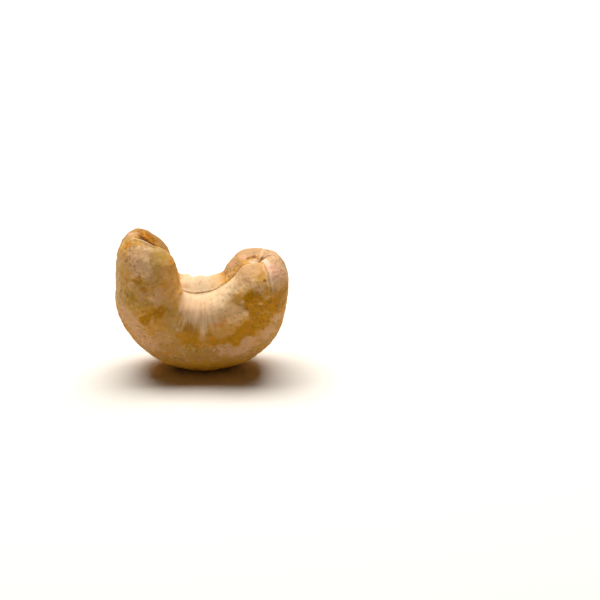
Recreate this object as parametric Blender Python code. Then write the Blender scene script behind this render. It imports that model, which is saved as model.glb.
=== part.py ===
"""A whole shelled cashew kernel, standing on the outer curve of its back with both tips up.

Two seed halves lie face to face and grew as one body, so the kernel is one solid. Their seam runs round it
close to the XZ plane. +X is right and +Z is up, and the near half faces -Y. The origin is on the table, under
the middle of the kernel. Lengths are in millimetres and become metres when the mesh is made.
"""

import math

import bpy
import numpy as np
from mathutils import Vector, noise

MM = 0.001
NAME = "cashew_kernel"

# Stations from the left tip to the right tip. Each gives the x and z of the hollow's edge, the x and z of
# the back's edge, half the thickness across the seam, and the lean in degrees. The lean turns a section's
# hollow side about the kernel's own length, towards the far half where it is above 0, and dies away
# towards the back.
STATIONS = (
    (-4.9, 18.6, -10.3, 20.7, 4.5, 13),
    (-3.5, 16.35, -10.95, 17.3, 4.9, 20),
    (-2.85, 14.1, -11.5, 13.2, 5.2, 18),
    (-2.5, 12.8, -11.5, 9.2, 5.3, 6),
    (-2.1, 12.65, -9.75, 5.15, 5.2, -7),
    (-1.1, 12.75, -5.5, 1.05, 5.1, -14),
    (0.1, 12.95, -0.1, -0.45, 4.9, -16),
    (1.4, 13.2, 5.2, 0.75, 5.1, -14),
    (2.5, 13.85, 9.3, 3.8, 5.3, -11),
    (3.6, 14.7, 11.25, 8.2, 5.3, -9),
    (4.8, 15.75, 11.8, 12.8, 5.2, -8),
    (6.5, 16.6, 11.8, 16.55, 5.0, -7),
)
SPLINE_STEPS = 2400  # steps in which the curve through the stations is measured
LEFT_CAP = 3.3  # length over which a tip rounds off
RIGHT_CAP = 2.7

# Superellipse exponents of a section: 2 is round, and more is squarer.
NEAR_SQUARENESS = 2.1  # the near half's side of the hollow
FAR_SQUARENESS = 2.6
BACK_SQUARENESS = 2.0

# The seam is a valley between the two halves: deep and wide in the hollow, a shallow groove along the back.
HOLLOW_SEAM_DEPTH = 1.2
HOLLOW_SEAM_HALF_WIDTH = 1.9
BACK_SEAM_DEPTH = 0.12
BACK_SEAM_HALF_WIDTH = 0.9
SEAM_SHARPNESS = 1.4  # 2 would be a round valley and 1 a sharp one
SEAM_AT_LEFT_TIP = 0.5  # share of the valley that is left at the left tip
SEAM_OPENING = 8.0  # distance from the left tip at which the valley has deepened half the way
SEAM_OPENING_FADE = 2.5
SEAM_END_X = 8.6  # past the root's pit the valley closes
SEAM_END_FADE = 0.5

# The hollow's rims, with places counted along the kernel from its middle. The near rim is worn down beside
# the seam and swollen below it into a gentle slope, and bulges at the left arm's foot. The far rim swells at
# the left arm's foot and dips at the right arm's.
RIM_WORN = 0.35
RIM_SWELL = 0.5
RIM_START = -4.0
RIM_END = 8.5
RIM_FADE = 1.2
NEAR_FOOT = 0.6
NEAR_FOOT_PLACE = -6.2
FAR_FOOT = 0.6
FAR_FOOT_PLACE = -4.4
FAR_DIP = 0.45
FAR_DIP_PLACE = 7.6
FOOT_HALF_LENGTH = 2.0

# The left tip's cleft, where the halves part: the x, y and z of its middle. It dips steeply behind the near
# lip and climbs gently to the far half.
CLEFT_MIDDLE = (-6.9, -0.9, 18.6)
CLEFT_SLOPE = math.radians(-30)
CLEFT_HALF_LENGTH = 1.6
CLEFT_DEPTH = 0.5
CLEFT_NEAR_WIDTH = 0.45
CLEFT_FAR_WIDTH = 2.2

# The pit of the root at the right tip. Two creases run from it and down both faces, and the tip's outer
# side is sunk a little beyond them. A crease starts at CREASE_X on the seam, goes to the right by its slant
# for each millimetre away from the seam, and fades out below the height CREASE_FOOT.
PIT_MIDDLE = (8.1, 0.1, 15.7)
PIT_RADIUS = 0.6
PIT_DEPTH = 0.5
CREASE_X = 7.65
NEAR_CREASE_SLANT = 0.34
FAR_CREASE_SLANT = 0.2
CREASE_HALF_WIDTH = 0.4
CREASE_FOOT = 12.0
CREASE_FADE = 1.6
SUNK_DEPTH = 0.16
SUNK_LENGTH = 3.2

# Wrinkles fan out of the hollow over both faces. They are smooth noise, drawn out from the rim to the back.
WRINKLE_HEIGHT = 0.16
WRINKLE_PITCH = 1.3
WRINKLE_LENGTH = 6.0
WRINKLE_SPREAD = 4.5  # how far along the kernel they reach from the hollow's middle
WRINKLE_BELT_MIDDLE = 0.45  # on a scale of 1 at the hollow's edge and -1 at the back's
WRINKLE_BELT_HALF_WIDTH = 0.4

# Slow swells of the whole surface.
LUMP_HEIGHT = 0.16
LUMP_SIZE = 3.6
NOISE_START = Vector((3.7, 8.1, 5.2))

RINGS = 84
CAP_RINGS = 10  # of them, at each tip
COLUMNS = 44
COLUMN_CROWDING = 0.45  # draws the columns towards the seam

KERNEL_COLOUR = (0.60, 0.38, 0.18, 1.0)
KERNEL_ROUGHNESS = 0.5


def clear_scene():
    for obj in list(bpy.data.objects):
        bpy.data.objects.remove(obj)


def spline_through(rows, at):
    """A Catmull-Rom spline through the rows, read at places counted in rows."""
    rows = np.asarray(rows, float)
    ends = np.vstack([2 * rows[0] - rows[1], rows, 2 * rows[-1] - rows[-2]])
    i = np.clip(np.floor(at).astype(int), 0, len(rows) - 2)
    t = (at - i)[:, None]
    a, b, c, d = (ends[i + k] for k in range(4))
    return 0.5 * (2 * b + (c - a) * t + (2 * a - 5 * b + 4 * c - d) * t**2 + (3 * (b - c) + d - a) * t**3)


def ring_places(length, rings, cap_rings):
    """Distances along the kernel, crowded at both tips so that they come out round."""
    turn = np.linspace(0, math.pi / 2, cap_rings + 1)
    left = LEFT_CAP * (1 - np.cos(turn))
    right = length - RIGHT_CAP * (1 - np.cos(turn[::-1]))
    body = np.linspace(LEFT_CAP, length - RIGHT_CAP, rings - 2 * cap_rings)
    return np.concatenate([left[:-1], body, right[1:]])


def column_angles(columns):
    """Angles round a section, from the hollow's seam over the near face and the back to the far face."""
    even = np.arange(columns) / columns * 2 * math.pi
    return even - COLUMN_CROWDING * np.sin(2 * even) / 2


class Surface:
    """The kernel's grid of points, ring by ring, with each point's place on the kernel."""

    def __init__(self, rings, cap_rings, columns):
        rows = spline_through(STATIONS, np.linspace(0, len(STATIONS) - 1, SPLINE_STEPS))
        middle = (rows[:, 0:2] + rows[:, 2:4]) / 2
        steps = np.linalg.norm(np.diff(middle, axis=0), axis=1)
        along = np.concatenate([[0], np.cumsum(steps)])
        self.length = along[-1]
        self.s = ring_places(self.length, rings, cap_rings)[:, None]
        ring = np.stack([np.interp(self.s[:, 0], along, rows[:, k]) for k in range(6)], 1)

        self.angle = column_angles(columns)[None, :]
        cos, sin = np.cos(self.angle), np.sin(self.angle)
        towards_hollow = (1 + cos) / 2
        hollow_squareness = np.where(sin > 0, NEAR_SQUARENESS, FAR_SQUARENESS)
        square = BACK_SQUARENESS + (hollow_squareness - BACK_SQUARENESS) * towards_hollow
        reach = (np.abs(cos) ** square + np.abs(sin) ** square) ** (-1 / square)

        to_left = np.clip(self.s / LEFT_CAP, 0, 1)
        to_right = np.clip((self.length - self.s) / RIGHT_CAP, 0, 1)
        self.swell = np.sqrt(1 - (1 - to_left) ** 2) * np.sqrt(1 - (1 - to_right) ** 2)
        self.side = self.swell * cos

        centre = (ring[:, 0:2] + ring[:, 2:4]) / 2
        inward = (ring[:, 0:2] - ring[:, 2:4]) / 2
        half_width = np.linalg.norm(inward, axis=1)[:, None]
        inward = inward / half_width
        depth = half_width * self.swell * reach * cos
        self.across = -ring[:, 4:5] * self.swell * reach * sin
        lean = np.radians(ring[:, 5:6]) * towards_hollow
        turned = depth * np.cos(lean) - self.across * np.sin(lean)
        self.points = np.empty(turned.shape + (3,))
        self.points[..., 0] = centre[:, 0:1] + inward[:, 0:1] * turned
        self.points[..., 1] = depth * np.sin(lean) + self.across * np.cos(lean)
        self.points[..., 2] = centre[:, 1:2] + inward[:, 1:2] * turned

        held = np.clip(self.s[:, 0], LEFT_CAP, self.length - RIGHT_CAP)
        core = np.stack([np.interp(held, self.s[:, 0], centre[:, k]) for k in range(2)], 1)
        away = self.points.copy()
        away[..., 0] -= core[:, 0:1]
        away[..., 2] -= core[:, 1:2]
        self.out = away / np.linalg.norm(away, axis=2, keepdims=True)

    def raise_by(self, height):
        """Moves every point outwards by its own height."""
        self.points += self.out * height[..., None]


def bump(distance, width):
    """1 at distance 0, falling smoothly to nothing past the width."""
    return np.exp(-((distance / width) ** 2))


def ramp(value, width):
    """0 well below value 0 and 1 well above it, with a smooth climb of about the width."""
    return 0.5 + 0.5 * np.tanh(value / width)


def smooth_noise(places):
    """Smooth noise at an array of places, about -1 to 1."""
    height = np.empty(places.shape[:-1])
    for index in np.ndindex(height.shape):
        height[index] = noise.noise(Vector(places[index]) + NOISE_START)
    return height


def seam(surface):
    """The valley between the two halves, over the tips too."""
    hollow = (1 + surface.side) / 2
    opening = SEAM_AT_LEFT_TIP + (1 - SEAM_AT_LEFT_TIP) * ramp(surface.s - SEAM_OPENING, SEAM_OPENING_FADE)
    closing = ramp(surface.points[..., 0] - SEAM_END_X, SEAM_END_FADE) * tip_end(surface)
    deep = hollow * opening * (1 - closing)
    depth = BACK_SEAM_DEPTH + (HOLLOW_SEAM_DEPTH - BACK_SEAM_DEPTH) * deep
    width = BACK_SEAM_HALF_WIDTH + (HOLLOW_SEAM_HALF_WIDTH - BACK_SEAM_HALF_WIDTH) * hollow
    return -depth * np.exp(-((np.abs(surface.across) / width) ** SEAM_SHARPNESS))


def rims(surface):
    """The wear and the swells of the hollow's two rims."""
    place = surface.s - surface.length / 2
    near = ramp(-surface.across - 0.3, 0.25)
    far = ramp(surface.across - 0.8, 0.3)
    reach = ramp(place - RIM_START, RIM_FADE) * ramp(RIM_END - place, RIM_FADE)
    slope = reach * (RIM_SWELL * bump(surface.side - 0.45, 0.3) - RIM_WORN * bump(surface.side - 0.93, 0.12))
    shoulder = bump(surface.side - 0.85, 0.3)
    near_foot = NEAR_FOOT * bump(place - NEAR_FOOT_PLACE, FOOT_HALF_LENGTH)
    far_foot = FAR_FOOT * bump(place - FAR_FOOT_PLACE, FOOT_HALF_LENGTH)
    far_dip = FAR_DIP * bump(place - FAR_DIP_PLACE, FOOT_HALF_LENGTH)
    return near * (slope + near_foot * shoulder) + far * (far_foot - far_dip) * shoulder


def cleft(surface):
    """The lens-shaped gap between the halves at the left tip."""
    x, y, z = (surface.points[..., k] - CLEFT_MIDDLE[k] for k in range(3))
    along = x * math.cos(CLEFT_SLOPE) + z * math.sin(CLEFT_SLOPE)
    lens = bump((along / CLEFT_HALF_LENGTH) ** 2, 1)
    return -CLEFT_DEPTH * lens * bump(y, np.where(y < 0, CLEFT_NEAR_WIDTH, CLEFT_FAR_WIDTH))


def pit(surface):
    """The small hole where the root's tip sat."""
    return -PIT_DEPTH * bump(np.linalg.norm(surface.points - np.array(PIT_MIDDLE), axis=2), PIT_RADIUS)


def tip_end(surface):
    """1 on the right tip, fading out below the foot of the creases."""
    return ramp(surface.points[..., 2] - CREASE_FOOT, CREASE_FADE)


def sunken_tip(surface):
    """The right tip's outer side, a little lower than the rest beyond the two creases."""
    y = surface.points[..., 1]
    slant = np.where(y < 0, NEAR_CREASE_SLANT, FAR_CREASE_SLANT)
    beyond = surface.points[..., 0] - CREASE_X - slant * np.abs(y)
    sunk = ramp(beyond, CREASE_HALF_WIDTH) * bump(np.maximum(beyond, 0), SUNK_LENGTH)
    return -SUNK_DEPTH * sunk * tip_end(surface)


def wrinkles(surface):
    """Ridges that run from the hollow's rim down both faces."""
    spread = bump(surface.s - surface.length / 2, WRINKLE_SPREAD)
    belt = bump(surface.side - WRINKLE_BELT_MIDDLE, WRINKLE_BELT_HALF_WIDTH)
    shape = surface.points.shape[:2]
    along = np.broadcast_to(surface.s / WRINKLE_PITCH, shape)
    down = surface.points[..., 2] / WRINKLE_LENGTH
    face = np.sign(surface.across)
    return WRINKLE_HEIGHT * smooth_noise(np.stack([along, face, down], 2)) * spread * belt


def lumps(surface):
    """Slow swells and dents of the whole surface."""
    return LUMP_HEIGHT * smooth_noise(surface.points / LUMP_SIZE)


def press_on_table(points):
    """The flat spot that the kernel stands on."""
    points[..., 2] = np.maximum(points[..., 2], 0)


def mesh_from_rings(name, points):
    """One closed skin: bands between the rings, and a fan of triangles at each tip."""
    inner = points[1:-1]
    rings, columns = inner.shape[:2]
    vertices = inner.reshape(-1, 3).tolist() + [points[0].mean(0).tolist(), points[-1].mean(0).tolist()]
    left_tip, right_tip = rings * columns, rings * columns + 1
    last = (rings - 1) * columns
    faces = []
    for j in range(columns):
        k = (j + 1) % columns
        faces.append((left_tip, k, j))
        faces.append((right_tip, last + j, last + k))
        for start in range(0, last, columns):
            faces.append((start + j, start + k, start + columns + k, start + columns + j))
    mesh = bpy.data.meshes.new(name)
    mesh.from_pydata([tuple(MM * v for v in vertex) for vertex in vertices], [], faces)
    mesh.validate()
    mesh.shade_smooth()
    return mesh


def kernel_material():
    material = bpy.data.materials.new("roasted_kernel")
    material.use_nodes = True
    shader = material.node_tree.nodes["Principled BSDF"]
    shader.inputs["Base Color"].default_value = KERNEL_COLOUR
    shader.inputs["Roughness"].default_value = KERNEL_ROUGHNESS
    shader.inputs["Metallic"].default_value = 0.0
    return material


def main():
    clear_scene()
    surface = Surface(RINGS, CAP_RINGS, COLUMNS)
    relief = (seam, rims, cleft, pit, sunken_tip, wrinkles, lumps)
    surface.raise_by(sum(shape(surface) for shape in relief))
    press_on_table(surface.points)
    mesh = mesh_from_rings(NAME, surface.points)
    mesh.materials.append(kernel_material())
    kernel = bpy.data.objects.new(NAME, mesh)
    collection = bpy.data.collections.new("cashew")
    bpy.context.scene.collection.children.link(collection)
    collection.objects.link(kernel)


main()
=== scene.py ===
"""A roasted cashew kernel standing on the curve of its back, both tips up, on a white sweep under a softbox.

The kernel is lofted from a few stations, as the solid in CAD is, but with rings and columns fine
enough to carry its skin: the seam, the gaping tip, the root's pit, the creases, wrinkles, dents and pores.
The fields that raise the skin also mark it, and the material reads those marks to colour it. +X is right, +Z
is up and the near face looks to -Y. Lengths on the kernel are millimetres until its mesh is made.
"""

import math

import bpy
import numpy as np
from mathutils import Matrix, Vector, noise


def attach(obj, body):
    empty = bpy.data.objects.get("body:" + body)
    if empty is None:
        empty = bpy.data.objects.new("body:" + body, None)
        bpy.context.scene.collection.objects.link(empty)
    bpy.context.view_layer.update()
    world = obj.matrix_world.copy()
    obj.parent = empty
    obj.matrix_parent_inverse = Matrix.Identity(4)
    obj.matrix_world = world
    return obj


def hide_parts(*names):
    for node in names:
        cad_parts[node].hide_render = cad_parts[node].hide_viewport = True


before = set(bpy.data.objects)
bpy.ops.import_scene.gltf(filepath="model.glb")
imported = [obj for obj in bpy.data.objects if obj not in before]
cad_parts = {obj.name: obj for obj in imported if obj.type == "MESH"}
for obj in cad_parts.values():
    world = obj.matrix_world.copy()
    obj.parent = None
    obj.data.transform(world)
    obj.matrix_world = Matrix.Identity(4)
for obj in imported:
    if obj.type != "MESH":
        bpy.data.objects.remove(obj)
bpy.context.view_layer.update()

MM = 0.001

# The kernel's form. Stations run from the left tip to the right tip. Each gives the x and z of the hollow's
# edge, the x and z of the back's edge, half the thickness across the seam, and the lean in degrees. A lean
# above 0 turns the section's hollow side towards the far half, and dies away towards the back.
STATIONS = (
    (-4.9, 18.6, -10.3, 20.7, 4.5, 13),
    (-3.5, 16.35, -10.95, 17.3, 4.9, 20),
    (-2.85, 14.1, -11.5, 13.2, 5.2, 18),
    (-2.5, 12.8, -11.5, 9.2, 5.3, 6),
    (-2.1, 12.65, -9.75, 5.15, 5.2, -7),
    (-1.1, 12.75, -5.5, 1.05, 5.1, -14),
    (0.1, 12.95, -0.1, -0.45, 4.9, -16),
    (1.4, 13.2, 5.2, 0.75, 5.1, -14),
    (2.5, 13.85, 9.3, 3.8, 5.3, -11),
    (3.6, 14.7, 11.25, 8.2, 5.3, -9),
    (4.8, 15.75, 11.8, 12.8, 5.2, -8),
    (6.5, 16.6, 11.8, 16.55, 5.0, -7),
)
SPLINE_STEPS = 2400
LEFT_CAP = 3.3  # how far from each tip the sections start to close
RIGHT_CAP = 2.7
NEAR_SQUARENESS = 2.1
FAR_SQUARENESS = 2.6
BACK_SQUARENESS = 2.0
RINGS = 380
CAP_RINGS = 48
COLUMNS = 258
COLUMN_CROWDING = 0.45  # crowds the columns at the seam

# The valley between the two halves, and the thin dark line where they meet at its bottom.
HOLLOW_SEAM_DEPTH = 1.2
HOLLOW_SEAM_HALF_WIDTH = 1.9
BACK_SEAM_DEPTH = 0.12
BACK_SEAM_HALF_WIDTH = 0.9
SEAM_SHARPNESS = 1.4
SEAM_END_X = 8.6  # past the root's pit the valley closes
SEAM_END_FADE = 0.5
SEAM_OPENING = (8.0, 2.5)  # how far from the left tip, in mm, and how slowly the valley deepens
SEAM_AT_LEFT_TIP = 0.5

# The hollow's rims. Places are counted along the kernel from its middle. The near rim is worn down beside the
# seam and swollen below it into a gentle slope, and bulges at the left arm's foot. The far rim swells at the
# left arm's foot and dips at the right arm's.
NEAR_RIM = (0.3, 0.25)  # where each rim starts beside the seam, and its fade
FAR_RIM = (0.8, 0.3)
RIM_WORN = 0.35
RIM_WORN_SIDE = (0.93, 0.12)  # the middle and half width of the wear, in sides
RIM_SWELL = 0.5
RIM_SWELL_SIDE = (0.45, 0.3)
RIM_REACH = (-4.0, 12.5)
RIM_REACH_FADE = 1.2
FOOT_SIDE = (0.85, 0.3)
NEAR_FOOT = 0.6
NEAR_FOOT_PLACE = -6.2
FAR_FOOT = 0.6
FAR_FOOT_PLACE = -4.4
FAR_DIP = 0.45
FAR_DIP_PLACE = 7.6
FOOT_HALF_LENGTH = 2.0

# The seam's line, and the pale strands that run on its near side along the right arm. Along the back the seam
# is a faint band, pale in places, between two fine grooves.
SEAM_LINE_DEPTH = 0.12
SEAM_LINE_HALF_WIDTH = 0.08
SEAM_LINE_WANDER = 0.1
SEAM_LINE_WANDER_LENGTH = 2.0
SEAM_LINE_ON_BACK = 0.3
SECOND_LINE = 0.6  # the strength of the line between the strands
SEAM_EDGE_PLACE = 0.22
SEAM_EDGE_HALF_WIDTH = 0.1
SEAM_EDGE_HEIGHT = 0.03
SEAM_EDGE_PALENESS = 0.3
STRANDS = (0.34, 0.7)
STRANDS_FROM_X = 2.6
STRAND_HALF_WIDTH = 0.09
STRAND_HEIGHT = 0.06
STRAND_PALENESS = 1.0
BACK_BAND_HALF_WIDTH = 0.65
BACK_GROOVE_HALF_WIDTH = 0.12
BACK_GROOVE_DEPTH = 0.05
BACK_GROOVE_PALENESS = 0.15

# The hollow's far rim against the sky: x, height and half-length of a small rise, a notch and a shallow dip.
FAR_RIM_SHAPES = (
    (-0.2, 0.3, 0.9),
    (-1.35, -0.06, 0.35),
    (-2.2, -0.35, 0.9),
)
FAR_RIM_ACROSS = (3.2, 1.6)  # its middle and half width across the kernel

# Broad swells of the near face at the arms, below which it turns under: x, z and radius.
SHOULDERS = (
    (-7.4, 12.6, 2.6),
    (6.6, 12.2, 2.3),
    (9.8, 12.4, 2.2),
)
SHOULDER_HEIGHT = 0.3
SHOULDERS_FROM = (1.0, 0.6)  # how far from the seam the swells start, and their fade
KNUCKLE = (-7.2, 16.2, 1.5, 0.4)  # a short fold across the left arm: x, z, half-length and half-width
KNUCKLE_SLANT = 0.15
KNUCKLE_HEIGHT = 0.13

# The cleft at the left tip. It dips steeply behind a sharp near lip and climbs gently to the far half.
CLEFT_MIDDLE = (-6.9, -0.9, 18.6)
CLEFT_SLOPE = math.radians(-30)
CLEFT_HALF_LENGTH = 1.6
CLEFT_DEPTH = 0.5
CLEFT_NEAR_WIDTH = 0.45
CLEFT_FAR_WIDTH = 2.2
CLEFT_TOP = (15.8, 0.6)  # the height that its lips and colours keep above, and their fade
GAPE_HALF_LENGTH = 1.35  # the part of the cleft that shows orange
GAPE_FAR_Y = 1.6
# How far back from the lip the cleft's painted shadow reaches, and how it slants along the cleft.
GAPE_SHADE_Y = 0.35
GAPE_SHADE_SLANT = 0.2
LIP_Y = -1.62
LIP_HALF_WIDTH = 0.18
LIP_HEIGHT = 0.16
LIP_HALF_LENGTH = 2.3
LIP_PALENESS = 0.8
LIP_LEAST = 0.45  # what is left of the lip where it is worn
LIP_WANDER = 0.25
LIP_WANDER_SIZE = 1.2
LIP_JITTER = 0.12
SECOND_LIP_Y = -3.1
SECOND_LIP_SLANT = 0.6
SECOND_LIP_HALF_WIDTH = 0.12
SECOND_LIP_HEIGHT = 0.07
SECOND_LIP_PALENESS = 0.7
LIP_GAP_HALF_WIDTH = 0.4
LIP_GAP_DEPTH = 0.07

# The root's pit at the right tip, and the creases that run from it round a sunken, grainy end.
PIT_MIDDLE = (8.1, 0.1, 15.7)
PIT_RADIUS = 0.42
PIT_DEPTH = 0.5
CREASE_X = 7.65
NEAR_CREASE_SLANT = 0.34
FAR_CREASE_SLANT = 0.2
CREASE_HALF_WIDTH = 0.4
CREASE_FOOT = 12.0
CREASE_FADE = 1.6
CREASE_RAGGEDNESS = 0.2
CREASE_GROOVE = 0.16
CREASE_GROOVE_HALF_WIDTH = 0.16
CREASE_LINE_HALF_WIDTH = 0.06
CREASE_LINE_LOW = 0.15  # how dark the near crease's line is low down, and what the end adds
CREASE_LINE_HIGH = 0.75
SUNK_DEPTH = 0.16
SUNK_LENGTH = 3.2
END_FOOT = 13.9  # the end's own colour fades out here, with a ragged edge
END_RAGGEDNESS = 1.2
CREASE_BELOW_END = 2.2  # how much further down the crease's groove and wedge reach
GRAINS_LEAST = 0.2  # the end's near side has fewer grains
GRAINS_FROM_Y = -1.4
WEDGE_HEIGHT = 0.1  # a pale wedge beside the near crease, which widens upwards
WEDGE_WIDTH = 0.28
WEDGE_WIDENING = 0.55
WEDGE_WIDE_Z = 15.0
WEDGE_BREAKS_Z = 13.5
WEDGE_BREAKS_SIZE = 0.6
FAR_EDGE_HALF_WIDTH = 0.14  # a pale edge beside the far crease
FAR_EDGE_HEIGHT = 0.05
FAR_EDGE_PALENESS = 0.8
ARCH_BEFORE = 0.3  # a fine arch above the near arm's top, just before the crease
ARCH_RISE = 0.5
ARCH_Y = -1.6
ARCH_HALF_WIDTH = 0.1
ARCH_HEIGHT = 0.05
ARCH_PALENESS = 0.45
FLAKE_MIDDLE = (7.1, 0.0, 15.4)  # a scrap of pale skin left beside the pit
FLAKE_SIZE = (0.85, 0.5, 1.0)
FLAKE_EDGE = 0.8
FLAKE_HEIGHT = 0.12

# Wrinkles that fan out of the hollow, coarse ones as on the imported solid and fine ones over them.
WRINKLE_HEIGHT = 0.16
WRINKLE_PITCH = 1.3
WRINKLE_LENGTH = 6.0
WRINKLE_SPREAD = 4.5
WRINKLE_BELT = (0.45, 0.4)  # middle and half width, in sides
FINE_WRINKLE_HEIGHT = 0.12
FINE_WRINKLE_PITCH = 0.45
FINE_WRINKLE_LENGTH = 4.0
FAN_MIDDLE = 0.7
FAN_SPREAD = 3.2
FAN_BELT = (0.5, 0.36)
# Belts where the fine wrinkles get painted highlight on their ridges and painted shade in each furrow.
STREAK_BELT = (0.52, 0.32)
FURROW_BELT = (0.54, 0.28)
STREAK_LEAST = 0.3  # what is left of the pale streaks of painted highlight and the dark lines of painted shade where they fray

# The cream in the hollow. It spreads down each face to a foot, in sides, that climbs away from its lowest
# place.
NEAR_CREAM_FOOT = 0.49
NEAR_CREAM_PLACE = 1.0
NEAR_CREAM_CLIMB = (0.014, 0.006)  # towards the left and the right arm
FAR_CREAM_FOOT = 0.3
FAR_CREAM_PLACE = 0.3
FAR_CREAM_CLIMB = 0.014
CREAM_STREAKS = 0.35
CREAM_RAGGEDNESS = 0.3
CREAM_PALER = (4.0, 1.5, 0.45)  # from where along the right arm it thins, over what length and how much
CREAM_END = (9.5, 0.6)
SLOPE_TOP = 0.9  # below this side the cream is the fan's tanned slope
ARM_RIM = (3.5, 11.5)  # from where to where a pale edge of painted light lines the near rim of the right arm
ARM_RIM_SIDE = 0.68

# Swells and dents of the whole skin, from broad to fine.
LUMP_HEIGHT = 0.16
LUMP_SIZE = 3.6
DENT_HEIGHT = 0.09
DENT_SIZE = 1.5
PIMPLE_HEIGHT = 0.07
PIMPLE_SIZE = 0.65
SHRIVEL_HEIGHT = 0.05
SHRIVEL_PITCH = 0.55
SHRIVEL_LENGTH = 2.2
GRAIN_HEIGHT = 0.045
GRAIN_SIZE = 0.3
PORE_SPACING = 1.1
PORE_RADIUS = 0.12
PORE_DEPTH = 0.06
FLECK_SPACING = 0.8
FLECK_RADIUS = 0.1
FLECK_HEIGHT = 0.04
FLECK_PALENESS = 0.4
HALF_ROUND = 5.5  # the kernel's mean half width, which sets the size of stretched noise round it
NOISE_START = Vector((3.7, 8.1, 5.2))

# What is left of the dents and pimples where the skin is smoothest, and how grainy it is all over, on the
# right tip's end and in the grainy areas.
DENTS_LEAST = 0.3
PIMPLES_LEAST = 0.35
GRAININESS = (0.2, 0.9, 0.8)

# Where the hollow starts, in sides, and where the flanks start, in mm from the seam, each with its fade.
HOLLOW_FROM = (0.1, 0.25)
SIDES_FROM = (2.5, 1.0)
SADDLE_HALF_LENGTH = 6.0

# Ragged edges come from a coarser and a finer noise: size and strength of each.
RAGGED = ((0.6, 0.3), (0.3, 0.25))
WARP_SIZE = 1.1
WARP_STRENGTH = 0.6
SPOT_WARP = 0.25  # the share of the warp that a round spot takes

# Patchy things: the patches' size, how much of the skin they take, how soft their edges are, and the noise's
# start.
STRAND_BREAKS = (0.8, 0.25, 0.15, 12.0)
BACK_BAND_PATCHES = (1.6, 0.1, 0.35, 13.0)
LIP_WEAR = (0.6, 0.1, 0.15, 14.0)
SECOND_LIP_BREAKS = (0.7, 0.1, 0.15, 16.0)
LIP_GAP_SPECKS = (0.6, -0.02, 0.08, 17.0)
STREAK_BREAKS = (0.8, 0.1, 0.2, 22.0)
GRAINY_AREAS = (2.6, -0.05, 0.1, 52.0)
FLECKED_AREAS = (1.9, -0.05, 0.1, 64.0)

# How a patch's field turns into a cover: where its edge lies, how ragged and how soft the edge is.
COVER_EDGE = 0.4
COVER_RAGGEDNESS = 1.1
COVER_SOFTNESS = 0.16
PATCHES_FROM = (1.0, 0.5)  # how far from the seam the near face's patches start, and their fade
PALE_EDGE = (0.12, 0.65)  # where a pale patch of painted highlight starts, and how far its soft edge reaches

# On the half that the photograph doesn't show, broad noise lays the patches.
UNSEEN_FROM = (0.5, 0.8)
BROAD_SIZE = 3.2
OTHER_SIZE = 2.4
HIDDEN_GOLD = 0.55
HIDDEN_TOP = 12.5
HIDDEN_ORANGE_TOP = 13.0

# Below the first height the skin is painted darker, as shade, and below the second, at the very foot, it is
# painted a bright gold, as light.
LOW_TOP = 8.0
BASE_TOP = 2.5
UPPER_LEFT = (4.0, 11.5)  # further left and higher than this the gold is thinner
UPPER_LEFT_THINNING = 0.35
LIP_FACE = (18.2, 0.5, 8.0)  # height, slope and place of a line above which the skin by the cleft is painted darker, as shade
ROUGH_SIZE = 2.2

# Patches on the near face: x, z and radius.
GOLD_PATCHES = (
    # left arm
    (-7.5, 14.7, 0.63), (-6.9, 13.7, 0.49), (-6.1, 10.6, 0.98), (-5.0, 10.7, 0.7), (-7.3, 9.4, 0.7),
    # below the hollow
    (-2.5, 10.6, 0.63), (-1.5, 8.3, 0.7), (-0.9, 7.2, 0.98), (-0.2, 6.0, 0.84), (1.0, 6.9, 0.7),
    (1.8, 6.0, 0.7), (-1.9, 6.1, 0.7), (-2.6, 7.3, 0.49), (3.9, 12.0, 0.63), (2.9, 6.0, 0.63),
    # right arm
    (6.2, 12.3, 0.77), (5.7, 11.7, 0.56), (7.1, 12.5, 0.63), (8.5, 12.2, 0.77), (9.1, 11.7, 0.84),
    (10.4, 12.0, 0.84), (10.2, 10.7, 0.91), (7.5, 9.8, 0.98), (8.7, 9.5, 0.84), (7.1, 10.7, 0.56),
    (9.6, 11.3, 0.7), (6.4, 8.6, 0.84), (7.7, 8.3, 0.84), (5.4, 7.5, 0.84), (4.9, 6.3, 0.84),
    (8.6, 8.5, 0.7), (6.5, 13.2, 0.63), (7.7, 13.2, 0.49), (11.4, 12.8, 0.56), (7.3, 11.7, 0.56),
    (8.2, 11.0, 0.7), (6.9, 7.6, 0.56), (4.3, 6.4, 0.63),
)
OLIVE_PATCHES = (
    # left arm
    (-5.1, 17.6, 0.98), (-4.2, 18.8, 0.84), (-5.8, 15.3, 0.7), (-8.8, 11.4, 1.12), (-9.0, 12.9, 0.84),
    (-5.9, 17.9, 0.7), (-5.1, 17.1, 0.63), (-6.8, 16.9, 0.49), (-7.6, 14.5, 0.7), (-6.9, 11.6, 0.84),
    (-5.2, 12.3, 0.7),
    # below the hollow
    (-3.6, 10.6, 0.84), (3.5, 11.9, 0.7), (-3.4, 7.9, 0.84), (0.0, 5.1, 0.7), (-1.5, 5.3, 0.84),
    (1.9, 7.0, 0.56), (3.9, 12.8, 0.49),
    # right arm
    (4.4, 12.8, 0.56), (6.1, 14.2, 0.56), (8.2, 15.3, 0.42), (9.3, 7.9, 0.84), (5.0, 5.7, 0.84),
    (4.8, 12.3, 0.56),
)
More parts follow.
